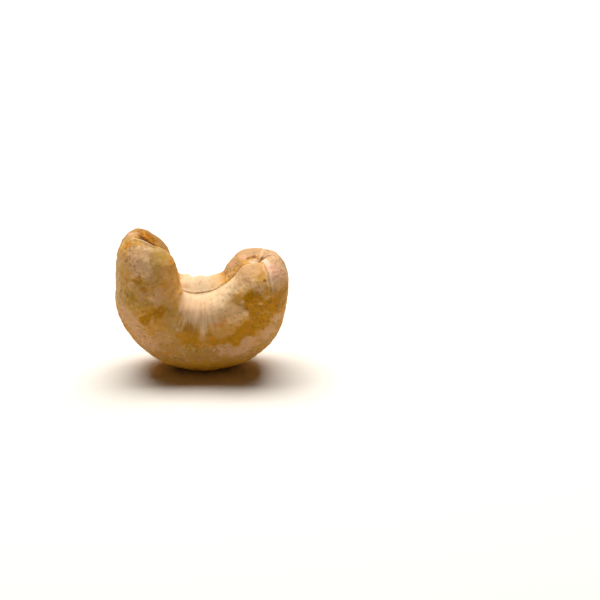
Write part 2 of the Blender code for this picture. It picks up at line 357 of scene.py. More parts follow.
BLUSH_PATCHES = (
    # left arm
    (-8.6, 8.5, 1.26), (-10.0, 10.0, 0.98), (-7.6, 6.3, 1.12), (-6.3, 5.0, 0.84), (-7.3, 12.9, 0.56),
    (-5.2, 12.3, 0.7), (-5.6, 13.2, 0.42), (-5.5, 11.9, 0.56), (-7.3, 17.9, 0.98), (-8.3, 16.5, 0.84),
    (-6.5, 15.9, 0.7), (-8.8, 17.9, 0.7), (-5.2, 13.8, 0.56),
    # below the hollow
    (2.9, 4.7, 0.98),
    # right arm
    (8.2, 11.9, 0.63), (7.4, 11.7, 0.56), (6.1, 11.0, 0.63), (6.6, 6.0, 1.12), (5.0, 4.7, 1.12),
    (9.0, 7.2, 0.98), (10.0, 9.1, 0.7), (6.9, 16.5, 1.12), (6.1, 15.3, 0.84), (11.1, 12.9, 0.56),
)
# Pale patches of painted highlight on the near face: x, z and radius.
PAINTED_HIGHLIGHT_PATCHES = (
    # left arm
    (-7.7, 17.8, 0.63), (-6.9, 17.5, 0.49), (-8.4, 17.1, 0.63), (-7.7, 16.3, 0.56), (-6.4, 16.6, 0.63),
    (-8.5, 15.6, 0.42), (-6.9, 15.7, 0.49), (-9.2, 14.4, 0.35), (-6.3, 12.2, 0.35),
    # below the hollow
    (3.1, 11.3, 0.91), (3.5, 10.1, 0.84), (2.0, 9.4, 0.7), (-1.0, 10.6, 0.49), (-1.8, 11.7, 0.49),
    (-2.9, 8.3, 0.35), (2.9, 11.3, 0.7), (3.5, 10.0, 0.7), (-0.5, 10.0, 0.7), (0.8, 9.8, 0.7),
    (-1.3, 9.2, 0.63), (0.4, 8.8, 0.63),
    # right arm
    (4.1, 14.1, 0.98), (5.0, 15.1, 0.84), (4.3, 10.7, 0.91), (5.2, 10.0, 0.56), (6.0, 10.9, 0.49),
    (6.9, 14.5, 0.63), (8.2, 14.0, 0.49), (9.4, 14.7, 0.56), (8.1, 12.0, 0.35), (5.7, 13.8, 0.49),
    (5.6, 12.3, 0.42), (4.3, 11.0, 0.63), (5.6, 11.2, 0.49), (4.5, 9.7, 0.56),
)
# Greyish pale patches, mostly on the left arm's outer edge: partly the skin's greyish tan and partly painted
# light.
GREY_LIT_PATCHES = (
    # left arm
    (-10.9, 16.8, 0.98), (-11.0, 14.4, 1.12), (-10.9, 12.0, 1.12), (-10.2, 10.0, 0.84),
    (-6.5, 17.9, 1.68),
)
ORANGE_PATCHES = (
    # left arm
    (-9.7, 14.8, 0.31), (-4.4, 4.1, 0.42),
    # below the hollow
    (3.1, 9.4, 0.42), (2.5, 8.9, 0.35), (-1.5, 9.2, 0.42), (-1.3, 8.2, 0.35), (-3.6, 16.8, 0.42),
    (1.5, 6.7, 0.42),
)

# Spots on the two tips and the far rim: x, y, z and radius.
ORANGE_SPOTS = (
    (-9.4, -2.4, 18.9, 0.5),
    (3.1, 1.8, 13.1, 0.9),
    (4.0, 2.4, 14.0, 0.8),
    (5.0, 2.6, 15.6, 0.5),
    (11.0, 0.3, 15.0, 0.5),
)
BEIGE_SPOTS = (
    (5.6, 2.4, 16.0, 1.9),
    (3.6, 2.0, 14.4, 1.6),
    (7.6, 2.6, 16.9, 1.4),
)
GREY_SPOTS = (
    (6.9, -2.6, 16.0, 1.6),
    (5.6, -2.2, 15.4, 1.2),
)
TAN_SPOTS = (
    (-7.2, 2.2, 19.3, 2.3),
    (-9.8, 0.3, 18.7, 1.3),
    (-4.8, 1.8, 17.2, 1.5),
    (-9.6, -2.6, 18.4, 1.0),
)
BROWN_SPOTS = (
    (7.0, 0.9, 15.8, 0.4),
    (6.3, 0.75, 15.6, 0.28),
    (-8.25, 0.9, 19.4, 0.16),
    (-8.4, -1.0, 19.6, 0.16),
    (10.96, 0.52, 15.1, 0.3),
    (8.6, -4.9, 14.9, 0.22),
)
PEACH_SPOTS = (
    (5.6, 1.1, 15.7, 0.55),
    (-9.2, 0.4, 19.3, 0.5),
    (4.3, 0.9, 14.8, 0.5),
    (9.8, -3.0, 15.4, 1.0),
)

# The photograph's frame: the table's origin shows at ORIGIN_PIXEL, where one pixel is MM_PER_PIXEL wide.
PHOTO_PIXELS = 600
ORIGIN_PIXEL = (203.4, 365.3)
MM_PER_PIXEL = 0.137
CAMERA_ELEVATION = math.radians(25)
LENS = 100
SENSOR = 36
CLIP_START = 0.01

# The sheet of paper under the kernel, the softbox above and behind it, and the room's own faint light.
SWEEP_HALF_WIDTH = 1.5
PAPER_TINT = "#f6efe3"
PAPER_ROUGHNESS = 0.9
SOFTBOX_SIZE = (0.46, 0.24)
SOFTBOX_POWER = 3.4
SOFTBOX_PLACE = (-0.015, 0.125, 0.42)
ROOM_LIGHT = 0.008

# The skin's shine, and the light that soaks a little way into it.
SKIN_IOR = 1.47  # a seed's fat and starch
SKIN_SPECULAR = 0.04
SKIN_ROUGHNESS = 0.6
GOLD_ROUGHNESS = 0.45
SOAK_WEIGHT = 0.1
SOAK_RADIUS = (1.0, 0.5, 0.2)
SOAK_SCALE = 0.8
GRIT_SIZE = 0.35
GRIT_DETAIL = 3
GRIT_HEIGHT = 0.03
GRIT_RANGE = (0.3, 0.7)
GRIT_DARKEST = 0.96
GRIT_PALEST = 1.04

# The skin's tints, from the lowest layer up. Each row gives the mark that it covers, or None for the whole
# skin, the mottle that breaks it up, or None, its strength and its colour. A mottle gives the size of its
# grains, its detail, the noise's values at which it starts and is full, and a shift that makes its pattern
# its own.
SKIN_TINTS = (
    # Painted shade low on the kernel.
    ("low", None, 0.8, "#b4864a"),
    (None, (1.1, 2, 0.5, 0.6, 0.03), 0.4, "#d79c30"),
    (None, (1.3, 2, 0.52, 0.62, 0.05), 0.35, "#dfae7e"),
    # Partly painted light: the greyish pale patches.
    ("grey_lit", None, 0.85, "#dcbb88"),
    ("olive", (0.9, 2, 0.3, 0.5, 0.06), 0.75, "#b8923c"),
    ("blush", None, 0.75, "#deae82"),
    # Painted light at the very foot.
    ("base", None, 0.85, "#e0a014"),
    ("gold", None, 0.97, "#c18404"),
    ("gold", (1.2, 2, 0.5, 0.58, 0.01), 0.6, "#b07c08"),
    ("gold", (1.0, 2, 0.54, 0.62, 0.04), 0.45, "#cf8620"),
    ("gold", (0.5, 2, 0.55, 0.62, 0.09), 0.5, "#8f680c"),
    # Painted highlight in the pale patches.
    ("pale", (0.7, 2, 0.1, 0.6, 0.07), 0.75, "#f2c896"),
    ("rough", (0.4, 2, 0.57, 0.61, 0.0), 0.4, "#f3cf9c"),
    ("rough", (0.4, 2, 0.57, 0.61, 0.02), 0.55, "#996418"),
    ("orange", (0.5, 3, 0.2, 0.5, 0.0), 0.75, "#d8852a"),
    ("beige", None, 0.8, "#c2986e"),
    ("grey", None, 0.75, "#c3996a"),
    ("tan", None, 0.8, "#9c7446"),
    # Painted shade on the near face by the cleft.
    ("shaded_lip_face", None, 0.3, "#93703a"),
    ("tip_face", None, 0.85, "#dcb28c"),
    ("tip_grains", (0.4, 3, 0.52, 0.58, 0.0), 0.7, "#b0824e"),
    ("tip_grains", (0.4, 2, 0.57, 0.61, 0.1), 0.7, "#85592a"),
    ("back_band", None, 0.5, "#e2bd94"),
    ("wedge", None, 0.85, "#f8d2b2"),
    ("crease_line", None, 0.6, "#96683a"),
    ("between_lips", None, 0.6, "#7d5a26"),
    ("cream", None, 0.9, "#e6c9a2"),
    ("fan_slope", None, 0.8, "#e2b283"),
    # Painted light along the near rim of the right arm.
    ("lit_arm_rim", None, 0.85, "#edcda2"),
    # Painted shade in the fine wrinkles' furrow lines, then painted highlight on their ridges.
    ("furrow_shade", None, 0.65, "#a87840"),
    ("streaks", None, 0.45, "#f6dfba"),
    ("peach", None, 0.65, "#ecb08e"),
    ("cleft", None, 1.0, "#c2711c"),
    ("cleft", (0.6, 2, 0.5, 0.56, 0.12), 0.6, "#c79a3c"),
    ("cleft", (0.7, 2, 0.48, 0.58, 0.08), 0.6, "#7e4412"),
    # Painted shadow in the cleft just behind the near lip.
    ("cleft_shade", None, 0.9, "#4c290c"),
    ("brown", None, 0.85, "#8f5a1e"),
    # Pale ridges and edges: partly paler skin and partly painted highlight on the raised ones.
    ("pale_edges", None, 0.75, "#f0d3a8"),
    ("flake", None, 0.9, "#ead0ac"),
    ("pores", None, 0.75, "#6e4a12"),
    ("seam_line", None, 0.8, "#8c6638"),
    ("pit", None, 0.85, "#7a4e28"),
)
SKIN_GROUND = ("#dc9e44", "#e3b067")  # the two tints below all layers
GROUND_MOTTLE = (1.6, 1, 0.38, 0.62, 0.0)
MOTTLE_ROUGHNESS = 0.6
MARKS = tuple(dict.fromkeys(mark for mark, _, _, _ in SKIN_TINTS if mark))

# Sockets of a colour Mix node.
MIX_COVER, MIX_UNDER, MIX_OVER, MIX_RESULT = 0, 6, 7, 2


def linear(hex_colour):
    """An sRGB hex colour as linear red, green, blue and alpha."""
    values = [int(hex_colour[i : i + 2], 16) / 255 for i in (1, 3, 5)]
    return tuple(v / 12.92 if v <= 0.04045 else ((v + 0.055) / 1.055) ** 2.4 for v in values) + (1.0,)


def spline_through(rows, at):
    """A Catmull-Rom spline through the rows, read at places counted in rows."""
    rows = np.asarray(rows, float)
    ends = np.vstack([2 * rows[0] - rows[1], rows, 2 * rows[-1] - rows[-2]])
    i = np.clip(np.floor(at).astype(int), 0, len(rows) - 2)
    t = (at - i)[:, None]
    a, b, c, d = (ends[i + k] for k in range(4))
    return 0.5 * (2 * b + (c - a) * t + (2 * a - 5 * b + 4 * c - d) * t**2 + (3 * (b - c) + d - a) * t**3)


def ring_places(length):
    """Distances along the kernel, crowded at both tips so that they come out round."""
    turn = np.linspace(0, math.pi / 2, CAP_RINGS + 1)
    left = LEFT_CAP * (1 - np.cos(turn))
    right = length - RIGHT_CAP * (1 - np.cos(turn[::-1]))
    body = np.linspace(LEFT_CAP, length - RIGHT_CAP, RINGS - 2 * CAP_RINGS)
    return np.concatenate([left[:-1], body, right[1:]])


class Skin:
    """The kernel's skin as a grid of points, ring by ring, with each point's place on the kernel.

    s runs along the kernel, side is 1 at the hollow's edge and -1 at the back's, and across is the distance
    from the seam, negative on the near half.
    """

    def __init__(self):
        rows = spline_through(STATIONS, np.linspace(0, len(STATIONS) - 1, SPLINE_STEPS))
        middle = (rows[:, 0:2] + rows[:, 2:4]) / 2
        steps = np.linalg.norm(np.diff(middle, axis=0), axis=1)
        along = np.concatenate([[0], np.cumsum(steps)])
        self.length = along[-1]
        s = ring_places(self.length)[:, None]
        ring = np.stack([np.interp(s[:, 0], along, rows[:, k]) for k in range(6)], 1)

        even = np.arange(COLUMNS)[None, :] / COLUMNS * 2 * math.pi
        angle = even - COLUMN_CROWDING * np.sin(2 * even) / 2
        cos, sin = np.cos(angle), np.sin(angle)
        towards_hollow = (1 + cos) / 2
        hollow_squareness = np.where(sin > 0, NEAR_SQUARENESS, FAR_SQUARENESS)
        square = BACK_SQUARENESS + (hollow_squareness - BACK_SQUARENESS) * towards_hollow
        reach = (np.abs(cos) ** square + np.abs(sin) ** square) ** (-1 / square)

        to_left = np.clip(s / LEFT_CAP, 0, 1)
        to_right = np.clip((self.length - s) / RIGHT_CAP, 0, 1)
        swell = np.sqrt(1 - (1 - to_left) ** 2) * np.sqrt(1 - (1 - to_right) ** 2)

        centre = (ring[:, 0:2] + ring[:, 2:4]) / 2
        inward = (ring[:, 0:2] - ring[:, 2:4]) / 2
        half_width = np.linalg.norm(inward, axis=1)[:, None]
        inward = inward / half_width
        depth = half_width * swell * reach * cos
        self.across = -ring[:, 4:5] * swell * reach * sin
        self.side = swell * cos
        self.angle = np.broadcast_to(angle, self.side.shape)
        self.s = np.broadcast_to(s, self.side.shape)
        lean = np.radians(ring[:, 5:6]) * towards_hollow
        turned = depth * np.cos(lean) - self.across * np.sin(lean)
        across = depth * np.sin(lean) + self.across * np.cos(lean)
        self.points = np.stack([centre[:, 0:1] + inward[:, 0:1] * turned, across,
                                centre[:, 1:2] + inward[:, 1:2] * turned], 2)

        held = np.clip(s[:, 0], LEFT_CAP, self.length - RIGHT_CAP)
        core = np.stack([np.interp(held, s[:, 0], centre[:, k]) for k in range(2)], 1)
        away = self.points.copy()
        away[..., 0] -= core[:, 0:1]
        away[..., 2] -= core[:, 1:2]
        self.out = away / np.linalg.norm(away, axis=2, keepdims=True)

    @property
    def x(self):
        return self.points[..., 0]

    @property
    def y(self):
        return self.points[..., 1]

    @property
    def z(self):
        return self.points[..., 2]

    def raise_by(self, height):
        """Moves every point outwards by its own height."""
        self.points = self.points + self.out * height[..., None]


def bump(distance, width):
    """1 at distance 0, falling smoothly to nothing past the width."""
    return np.exp(-((distance / width) ** 2))


def ramp(value, width):
    """0 well below value 0 and 1 well above it, with a smooth climb of about the width."""
    return 0.5 + 0.5 * np.tanh(value / width)


def smooth_noise(places, start=0.0):
    """Smooth noise at an array of places, about -1 to 1. Another start gives another pattern."""
    offset = NOISE_START + Vector((start, start * 1.7, start * 0.6))
    height = np.empty(places.shape[:-1])
    for index in np.ndindex(height.shape):
        height[index] = noise.noise(Vector(places[index]) + offset)
    return height


def patchy(skin, size, share, softness, start):
    """Patches of one size in mm, 0 to 1. More of the skin is in them where the share is higher."""
    return ramp(smooth_noise(skin.points / size, start) + share, softness)


def seam(skin):
    """The valley between the two halves, over the tips too."""
    hollow = (1 + skin.side) / 2
    opening = SEAM_AT_LEFT_TIP + (1 - SEAM_AT_LEFT_TIP) * ramp(skin.s - SEAM_OPENING[0], SEAM_OPENING[1])
    open_valley = hollow * opening * (1 - ramp(skin.x - SEAM_END_X, SEAM_END_FADE) * tip_end(skin))
    depth = BACK_SEAM_DEPTH + (HOLLOW_SEAM_DEPTH - BACK_SEAM_DEPTH) * open_valley
    width = BACK_SEAM_HALF_WIDTH + (HOLLOW_SEAM_HALF_WIDTH - BACK_SEAM_HALF_WIDTH) * hollow
    return -depth * np.exp(-((np.abs(skin.across) / width) ** SEAM_SHARPNESS))


def on_belt(skin, belt):
    """1 along a belt round the kernel, given by its middle and half width in sides."""
    middle, half_width = belt
    return bump(skin.side - middle, half_width)


def rims(skin):
    """The wear and the swells of the hollow's two rims."""
    from_middle = skin.s - skin.length / 2
    near = ramp(-skin.across - NEAR_RIM[0], NEAR_RIM[1])
    far = ramp(skin.across - FAR_RIM[0], FAR_RIM[1])
    start, end = RIM_REACH
    reach = ramp(from_middle - start, RIM_REACH_FADE) * ramp(end - from_middle, RIM_REACH_FADE)
    swell = RIM_SWELL * on_belt(skin, RIM_SWELL_SIDE)
    worn = RIM_WORN * on_belt(skin, RIM_WORN_SIDE)
    foot = on_belt(skin, FOOT_SIDE)
    near_foot = NEAR_FOOT * bump(from_middle - NEAR_FOOT_PLACE, FOOT_HALF_LENGTH)
    far_foot = FAR_FOOT * bump(from_middle - FAR_FOOT_PLACE, FOOT_HALF_LENGTH)
    far_dip = FAR_DIP * bump(from_middle - FAR_DIP_PLACE, FOOT_HALF_LENGTH)
    return near * (reach * (swell - worn) + near_foot * foot) + far * (far_foot - far_dip) * foot


def shoulders(skin):
    """Broad swells of the near face, and the short fold across the left arm."""
    near = ramp(-skin.across - SHOULDERS_FROM[0], SHOULDERS_FROM[1])
    swell = sum(bump(np.hypot(skin.x - x, skin.z - z), radius) for x, z, radius in SHOULDERS)
    x, z, half_length, half_width = KNUCKLE
    above = skin.z - z - KNUCKLE_SLANT * (skin.x - x)
    fold = bump(skin.x - x, half_length) * bump(above, half_width)
    return near * (SHOULDER_HEIGHT * swell + KNUCKLE_HEIGHT * fold)


def along_cleft(skin):
    """How far along the cleft a point is from its middle, down the tip to the right."""
    x = skin.x - CLEFT_MIDDLE[0]
    z = skin.z - CLEFT_MIDDLE[2]
    return x * math.cos(CLEFT_SLOPE) + z * math.sin(CLEFT_SLOPE)


def cleft_lens(skin):
    """1 in the lens where the halves gape at the left tip."""
    return bump((along_cleft(skin) / CLEFT_HALF_LENGTH) ** 2, 1)


def cleft(skin):
    """The gap between the halves at the left tip."""
    across = skin.y - CLEFT_MIDDLE[1]
    width = np.where(across < 0, CLEFT_NEAR_WIDTH, CLEFT_FAR_WIDTH)
    return -CLEFT_DEPTH * cleft_lens(skin) * bump(across, width)


def pit_hole(skin):
    """1 in the hole where the root's tip sat."""
    return bump(np.linalg.norm(skin.points - np.array(PIT_MIDDLE), axis=2), PIT_RADIUS)


def pit(skin):
    """The root's pit."""
    return -PIT_DEPTH * pit_hole(skin)


def beyond_crease(skin):
    """How far to the right of the creases a point is."""
    slant = np.where(skin.y < 0, NEAR_CREASE_SLANT, FAR_CREASE_SLANT)
    return skin.x - CREASE_X - slant * np.abs(skin.y)


def tip_end(skin):
    """1 on the right tip, fading out below the foot of the creases."""
    return ramp(skin.z - CREASE_FOOT, CREASE_FADE)


def sunken_tip(skin):
    """The right tip's sunken end, beyond the creases."""
    beyond = beyond_crease(skin)
    sunk = ramp(beyond, CREASE_HALF_WIDTH) * bump(np.maximum(beyond, 0), SUNK_LENGTH)
    return -SUNK_DEPTH * sunk * tip_end(skin)


def wrinkles(skin):
    """Ridges that run from the hollow's rim down both faces."""
    spread = bump(skin.s - skin.length / 2, WRINKLE_SPREAD)
    belt = on_belt(skin, WRINKLE_BELT)
    places = np.stack([skin.s / WRINKLE_PITCH, np.sign(skin.across), skin.z / WRINKLE_LENGTH], 2)
    return WRINKLE_HEIGHT * smooth_noise(places) * spread * belt


def lumps(skin):
    """Broad swells all over."""
    return LUMP_HEIGHT * smooth_noise(skin.points / LUMP_SIZE)


def seam_wander(skin):
    """The distance from the seam's own line, which wanders a little."""
    places = np.stack([skin.s / SEAM_LINE_WANDER_LENGTH, np.zeros_like(skin.s), np.sign(skin.side)], 2)
    return skin.across - SEAM_LINE_WANDER * smooth_noise(places, 11.0)


def stretched_noise(skin, along, around, start):
    """Smooth noise whose cells have one size along the kernel and another round it."""
    round_by = HALF_ROUND / around
    places = np.stack([skin.s / along, np.cos(skin.angle) * round_by, np.sin(skin.angle) * round_by], 2)
    return smooth_noise(places, start)


class Marks:
    """The fine relief and the marks that colour the skin, each 0 to 1 all over it."""

    def __init__(self, skin):
        self.skin = skin
        self.relief = np.zeros(skin.s.shape)
        self.pale_edges = np.zeros(skin.s.shape)
        self.hollow = ramp(skin.side - HOLLOW_FROM[0], HOLLOW_FROM[1])
        self.saddle = bump(skin.s - skin.length / 2, SADDLE_HALF_LENGTH)
        self.face = 1 - self.hollow * self.saddle
        (coarse_size, coarse), (fine_size, fine) = RAGGED
        self.fine = smooth_noise(skin.points / fine_size, 55.0)
        self.ragged = coarse * smooth_noise(skin.points / coarse_size, 56.0) + fine * self.fine
        warp = np.stack([smooth_noise(skin.points / WARP_SIZE, 70.0 + k) for k in range(3)], 2)
        self.warped = skin.points + WARP_STRENGTH * warp
        self.seam()
        self.far_rim()
        self.left_tip()
        self.right_tip()
        self.fan()
        self.texture()
        self.patches()

    def ridge(self, where, height, pale=0.0):
        """A fine ridge or, with a height below 0, a groove, and how pale it is. On raised ridges the paleness
        is partly painted highlight.
        """
        self.relief += height * where
        self.pale_edges = np.maximum(self.pale_edges, pale * where)

    def seam(self):
        """The line where the halves meet, its strands on the right arm and the band along the back."""
        skin, hollow = self.skin, self.hollow
        back = 1 - hollow
        line = seam_wander(skin)
        right_arm = ramp(skin.x - STRANDS_FROM_X, 0.5) * hollow
        broken = patchy(skin, *STRAND_BREAKS)
        between_strands = bump(line + sum(STRANDS) / 2, SEAM_LINE_HALF_WIDTH) * right_arm * broken
        strength = SEAM_LINE_ON_BACK + (1 - SEAM_LINE_ON_BACK) * hollow
        self.seam_line = bump(line, SEAM_LINE_HALF_WIDTH) * strength + SECOND_LINE * between_strands
        self.relief -= SEAM_LINE_DEPTH * self.seam_line
        for place in STRANDS:
            strand = bump(line + place, STRAND_HALF_WIDTH) * right_arm * broken
            self.ridge(strand, STRAND_HEIGHT, STRAND_PALENESS)
        edges = bump(np.abs(line) - SEAM_EDGE_PLACE, SEAM_EDGE_HALF_WIDTH) * hollow * self.saddle
        self.ridge(edges, SEAM_EDGE_HEIGHT, SEAM_EDGE_PALENESS)
        uneven = patchy(skin, *BACK_BAND_PATCHES) * back
        self.back_band = ramp(BACK_BAND_HALF_WIDTH - np.abs(line) + 0.3 * self.ragged, 0.25) * uneven
        grooves = bump(np.abs(line) - BACK_BAND_HALF_WIDTH, BACK_GROOVE_HALF_WIDTH) * uneven
        self.ridge(grooves, -BACK_GROOVE_DEPTH, BACK_GROOVE_PALENESS)

    def far_rim(self):
        """The small rise, notch and dip of the hollow's far rim."""
        skin = self.skin
        middle, half_width = FAR_RIM_ACROSS
        rim = bump(skin.across - middle, half_width) * self.hollow
        for x, height, half_length in FAR_RIM_SHAPES:
            self.relief += height * bump(skin.x - x, half_length) * rim

    def left_tip(self):
        """The gaping cleft and the painted shadow in it, its sharp near lip, a fainter second lip and the
        furrow between the two.
        """
        skin = self.skin
        along = along_cleft(skin)
        top, fade = CLEFT_TOP
        on_top = ramp(skin.z - top, fade)
        gape = bump((along / GAPE_HALF_LENGTH) ** 2, 1) * on_top
        wander = LIP_WANDER * smooth_noise(skin.points / LIP_WANDER_SIZE, 15.0) + LIP_JITTER * self.fine
        behind_lip = ramp(skin.y - LIP_Y - 0.15 + 0.5 * wander, 0.08)
        shade_y = GAPE_SHADE_Y + GAPE_SHADE_SLANT * along
        self.cleft = gape * behind_lip * ramp(GAPE_FAR_Y - skin.y + 0.6 * self.ragged, 0.15)
        # Painted shadow in the gap just behind the near lip.
        self.cleft_shade = gape * behind_lip * ramp(shade_y - skin.y + 0.5 * self.fine, 0.15)

        # The near lip is raised and painted pale along its edge, partly as painted highlight.
        lip = bump((along / LIP_HALF_LENGTH) ** 2, 1) * on_top
        worn = LIP_LEAST + (1 - LIP_LEAST) * patchy(skin, *LIP_WEAR)
        lip_edge = bump(skin.y - LIP_Y + 0.8 * wander, LIP_HALF_WIDTH)
        self.ridge(lip * worn * lip_edge, LIP_HEIGHT, LIP_PALENESS)
        second_y = SECOND_LIP_Y + SECOND_LIP_SLANT * np.maximum(along, 0)
        second_lip = lip * bump(skin.y - second_y + 1.6 * wander, SECOND_LIP_HALF_WIDTH)
        second_lip *= patchy(skin, *SECOND_LIP_BREAKS)
        self.ridge(second_lip, SECOND_LIP_HEIGHT, SECOND_LIP_PALENESS)
        between = bump(skin.y - (LIP_Y + second_y) / 2, LIP_GAP_HALF_WIDTH) * lip
        self.ridge(between, -LIP_GAP_DEPTH)
        self.between_lips = between * patchy(skin, *LIP_GAP_SPECKS)

    def right_tip(self):
        """The root's pit, the creases that run from it, and the pale grainy end beyond them."""
        skin = self.skin
        self.pit = pit_hole(skin)
        beyond = beyond_crease(skin) + CREASE_RAGGEDNESS * self.ragged
        end = ramp(skin.z - END_FOOT + END_RAGGEDNESS * self.ragged, 0.7)
        lower = ramp(skin.z - END_FOOT + CREASE_BELOW_END, 0.8)
        near = ramp(-skin.y - 0.5, 0.3)
        self.tip_face = ramp(beyond - 0.1, 0.15) * end
        grains = GRAINS_LEAST + (1 - GRAINS_LEAST) * ramp(skin.y - GRAINS_FROM_Y, 0.6)
        self.tip_grains = self.tip_face * grains
        self.ridge(bump(beyond, CREASE_GROOVE_HALF_WIDTH) * lower, -CREASE_GROOVE)
        darkness = CREASE_LINE_LOW * lower + CREASE_LINE_HIGH * end
        self.crease_line = bump(beyond + 0.02, CREASE_LINE_HALF_WIDTH) * near * darkness

        wide = WEDGE_WIDTH + WEDGE_WIDENING * ramp(skin.z - WEDGE_WIDE_Z, 0.6)
        self.wedge = ramp(beyond - 0.12, 0.05) * ramp(wide + 0.25 * self.ragged - beyond, 0.1) * lower * near
        self.wedge *= patchy(skin, WEDGE_BREAKS_SIZE, 0.1 + 0.3 * (skin.z - WEDGE_BREAKS_Z), 0.15, 18.0)
        self.relief += WEDGE_HEIGHT * self.wedge
        far_edge = bump(beyond - 0.1, FAR_EDGE_HALF_WIDTH) * end * ramp(skin.y - 0.4, 0.2)
        self.ridge(far_edge, FAR_EDGE_HEIGHT, FAR_EDGE_PALENESS)
        arch_line = beyond + ARCH_BEFORE - ARCH_RISE * bump(skin.y - ARCH_Y, 1.0)
        arch = bump(arch_line, ARCH_HALF_WIDTH) * end * ramp(-skin.y - 0.7, 0.2)
        self.ridge(arch, ARCH_HEIGHT, ARCH_PALENESS)

        from_flake = (skin.points - np.array(FLAKE_MIDDLE)) / np.array(FLAKE_SIZE)
        self.flake = ramp(FLAKE_EDGE - np.linalg.norm(from_flake, axis=2) + self.ragged, 0.12)
        self.relief += FLAKE_HEIGHT * self.flake

    def fan(self):
        """Fine wrinkles below the hollow's rims with painted highlight and shade, and the cream that spreads
        down between them.
        """
        skin = self.skin
        from_middle = skin.s - skin.length / 2
        near = skin.across < 0
        spread = bump(from_middle - FAN_MIDDLE, FAN_SPREAD)
        half = np.sign(skin.across) * 3.0  # far enough apart for each half to have its own wrinkles
        places = np.stack([skin.s / FINE_WRINKLE_PITCH, half, skin.z / FINE_WRINKLE_LENGTH], 2)
        streaks = smooth_noise(places, 21.0)
        self.relief += FINE_WRINKLE_HEIGHT * streaks * spread * on_belt(skin, FAN_BELT)

        climb = np.where(from_middle < NEAR_CREAM_PLACE, *NEAR_CREAM_CLIMB)
        near_foot = NEAR_CREAM_FOOT + climb * (from_middle - NEAR_CREAM_PLACE) ** 2
        far_foot = FAR_CREAM_FOOT + FAR_CREAM_CLIMB * (from_middle - FAR_CREAM_PLACE) ** 2
        foot = np.where(near, near_foot, far_foot)
        paler_from, paler_fade, thinning = CREAM_PALER
        paler = 1 - thinning * ramp(from_middle - paler_from, paler_fade)
        end, end_fade = CREAM_END
        ended = ramp(end - from_middle, end_fade)
        uneven = CREAM_STREAKS * streaks * spread + CREAM_RAGGEDNESS * self.ragged
        self.cream = ramp(skin.side - foot + uneven, 0.12) * paler * ended
        self.fan_slope = self.cream * ramp(SLOPE_TOP - skin.side, 0.06) * near
        # A pale edge of painted light along the near rim of the right arm.
        on_arm = ramp(from_middle - ARM_RIM[0], 1.0) * ramp(ARM_RIM[1] - from_middle, 1.2) * near
        self.lit_arm_rim = on_arm * ramp(skin.side - ARM_RIM_SIDE + 0.25 * self.ragged, 0.05)

        # Pale streaks on the wrinkles' ridges are painted highlight; dark lines in each furrow are painted
        # shade.
        frayed = STREAK_LEAST + (1 - STREAK_LEAST) * patchy(skin, *STREAK_BREAKS)
        self.streaks = ramp(streaks - 0.1, 0.08) * spread * on_belt(skin, STREAK_BELT) * frayed
        self.furrow_shade = ramp(-streaks - 0.12, 0.06) * spread * on_belt(skin, FURROW_BELT) * frayed

    def texture(self):
        """Dents, pimples, fine shrivelling, grain, pores and raised flecks."""
        skin, face = self.skin, self.face
        dents = smooth_noise(skin.points / DENT_SIZE, 31.0)
        pimples = smooth_noise(skin.points / PIMPLE_SIZE, 32.0)
        shrivel = stretched_noise(skin, SHRIVEL_LENGTH, SHRIVEL_PITCH, 41.0)
        grain = smooth_noise(skin.points / GRAIN_SIZE, 51.0)
        everywhere, on_tip, in_areas = GRAININESS
        grainy = everywhere + on_tip * self.tip_face + in_areas * patchy(skin, *GRAINY_AREAS) * face
        sides = ramp(np.abs(skin.across) - SIDES_FROM[0], SIDES_FROM[1])
        self.pores = self.dots(PORE_SPACING, PORE_RADIUS, 0.0) * face
        self.relief += (
            DENT_HEIGHT * dents * (DENTS_LEAST + (1 - DENTS_LEAST) * sides)
            + PIMPLE_HEIGHT * pimples * (PIMPLES_LEAST + (1 - PIMPLES_LEAST) * face)
            + SHRIVEL_HEIGHT * shrivel * face
            + GRAIN_HEIGHT * grain * grainy
            - PORE_DEPTH * self.pores
        )
        # Raised flecks are painted paler, partly as painted highlight.
        flecks = self.dots(FLECK_SPACING, FLECK_RADIUS, 5.0) * patchy(skin, *FLECKED_AREAS) * face
        self.ridge(flecks, FLECK_HEIGHT, FLECK_PALENESS)

    def dots(self, spacing, radius, start):
        """Small spots, each at its own place in a loose grid."""
        nearest = np.empty(self.skin.s.shape)
        offset = NOISE_START + Vector((start, start, start))
        for index in np.ndindex(nearest.shape):
            distances, _ = noise.voronoi(Vector(self.skin.points[index] / spacing) + offset)
            nearest[index] = distances[0]
        return bump(nearest * spacing, radius)

    def cover(self, field):
        """A patch's field as a cover with a ragged edge."""
        return ramp(field - COVER_EDGE + COVER_RAGGEDNESS * self.ragged, COVER_SOFTNESS)

    def on_face(self, patches):
        """The field of flat patches on the near face, with their outlines warped."""
        near = ramp(-self.skin.across - PATCHES_FROM[0], PATCHES_FROM[1])
        x, z = self.warped[..., 0], self.warped[..., 2]
        return sum(bump(np.hypot(x - a, z - c), radius) for a, c, radius in patches) * near

    def spots(self, places):
        """The field of round spots, which are warped only a little."""
        points = self.skin.points + SPOT_WARP * (self.warped - self.skin.points)
        return sum(bump(np.linalg.norm(points - np.array(at), axis=2), radius) for *at, radius in places)

    def patches(self):
        """Where each tint lies: as in the photograph on the near face, and by broad noise elsewhere."""
        skin, ragged = self.skin, self.ragged
        unseen = 1 - ramp(-skin.y - UNSEEN_FROM[0], UNSEEN_FROM[1])
        broad = smooth_noise(skin.points / BROAD_SIZE, 81.0)
        other = smooth_noise(skin.points / OTHER_SIZE, 82.0)
        below = ramp(HIDDEN_TOP - skin.z, 1.0)
